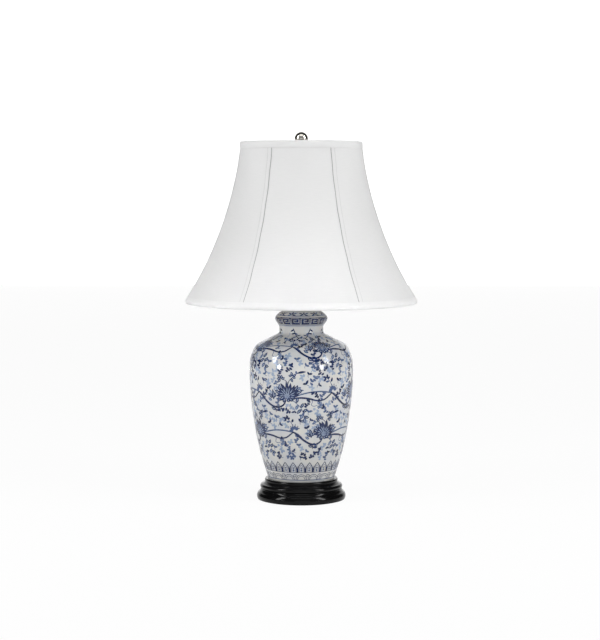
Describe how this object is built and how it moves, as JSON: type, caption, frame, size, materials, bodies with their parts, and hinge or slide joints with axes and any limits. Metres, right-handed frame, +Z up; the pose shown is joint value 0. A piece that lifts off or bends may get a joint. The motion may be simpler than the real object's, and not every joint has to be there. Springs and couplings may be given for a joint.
{
  "type": "ginger jar table lamp",
  "caption": "Table lamp: painted blue-and-white ginger jar on a turned black base, harp, turn-knob socket and white bell shade with ball finial.",
  "frame": {"origin": "on the floor at the lamp's vertical axis, at the centre of the base", "axes": "+Z up along the lamp's axis, -Y towards the front with the switch knob, +X to the right"},
  "size_m": [0.4312, 0.4312, 0.6856],
  "materials": {
    "felt": "felted",
    "black_lacquer": "black gloss lacquer",
    "black_plastic": "satin",
    "zinc": "zinc plated",
    "porcelain": "clear glaze over blue painting",
    "nickel": "polished nickel plate",
    "finial_nickel": "polished nickel plate",
    "socket_metal": "brass plated",
    "brass": "plain",
    "liner_board": "pressed board",
    "phenolic": "moulded",
    "aluminium": "bright",
    "solder": "dull",
    "bulb_insulator": "black glass",
    "bulb_glass": "frosted white",
    "frame_wire": "white",
    "shade_fabric": "fine white silk-like weave",
    "lining_fabric": "smooth white lining",
    "trim_fabric": "self-fabric trim"
  },
  "bodies": {
    "lamp": {"base_pad": "felt", "wood_base": "black_lacquer", "cord_bushing": "black_plastic", "base_washer": "zinc", "lock_washer": "zinc", "base_nut": "zinc", "lamp_pipe": "zinc", "jar": "porcelain", "vase_cap": "nickel", "neck_tube": "nickel", "check_ring": "nickel", "harp_saddle": "nickel", "socket_cap": "socket_metal", "set_screw": "zinc", "socket_shell": "socket_metal", "socket_liner": "liner_board", "socket_body": "phenolic", "terminal_screws": "brass", "screw_shell": "aluminium", "centre_contact": "brass"},
    "switch": {"switch_spindle": "brass", "switch_knob": "phenolic"},
    "bulb": {"bulb_contact": "solder", "bulb_insulator": "bulb_insulator", "bulb_base": "aluminium", "bulb_glass": "bulb_glass"},
    "harp": {"harp": "nickel"},
    "sleeve_left": {"harp_sleeve_left": "nickel"},
    "sleeve_right": {"harp_sleeve_right": "nickel"},
    "stud": {"swivel_stud": "brass"},
    "shade": {"top_ring": "frame_wire", "bottom_ring": "frame_wire", "shade_ribs": "frame_wire", "spider_hub": "frame_wire", "spider_arm_1": "frame_wire", "spider_arm_2": "frame_wire", "spider_arm_3": "frame_wire", "shade_panel_1": "shade_fabric", "shade_panel_2": "shade_fabric", "shade_panel_3": "shade_fabric", "shade_panel_4": "shade_fabric", "shade_panel_5": "shade_fabric", "shade_panel_6": "shade_fabric", "shade_lining": "lining_fabric", "top_trim": "trim_fabric", "bottom_trim": "trim_fabric", "seam_strips": "trim_fabric"},
    "finial": {"finial_neck": "finial_nickel", "finial_ball": "finial_nickel"}
  },
  "joints": [
    {"name": "knob_turn", "type": "hinge", "parent": "lamp", "child": "switch", "pos_m": [0, -0.015, 0.423], "axis": [0, 1, 0], "continuous": true},
    {"name": "bulb_unscrew", "type": "slide", "parent": "lamp", "child": "bulb", "axis": [0, 0, 1], "range_m": [0, 0.035]},
    {"name": "harp_lift", "type": "slide", "parent": "lamp", "child": "harp", "axis": [0, 0, 1], "range_m": [0, 0.03]},
    {"name": "sleeve_left_slide", "type": "slide", "parent": "harp", "child": "sleeve_left", "axis": [0, 0, 1], "range_m": [0, 0.012]},
    {"name": "sleeve_right_slide", "type": "slide", "parent": "harp", "child": "sleeve_right", "axis": [0, 0, 1], "range_m": [0, 0.012]},
    {"name": "stud_swivel", "type": "hinge", "parent": "harp", "child": "stud", "pos_m": [0, 0, 0.6436], "axis": [0, 0, 1], "continuous": true},
    {"name": "shade_lift", "type": "slide", "parent": "stud", "child": "shade", "axis": [0, 0, 1], "range_m": [0, 0.31]},
    {"name": "finial_lift", "type": "slide", "parent": "shade", "child": "finial", "axis": [0, 0, 1], "range_m": [0, 0.02]}
  ]
}
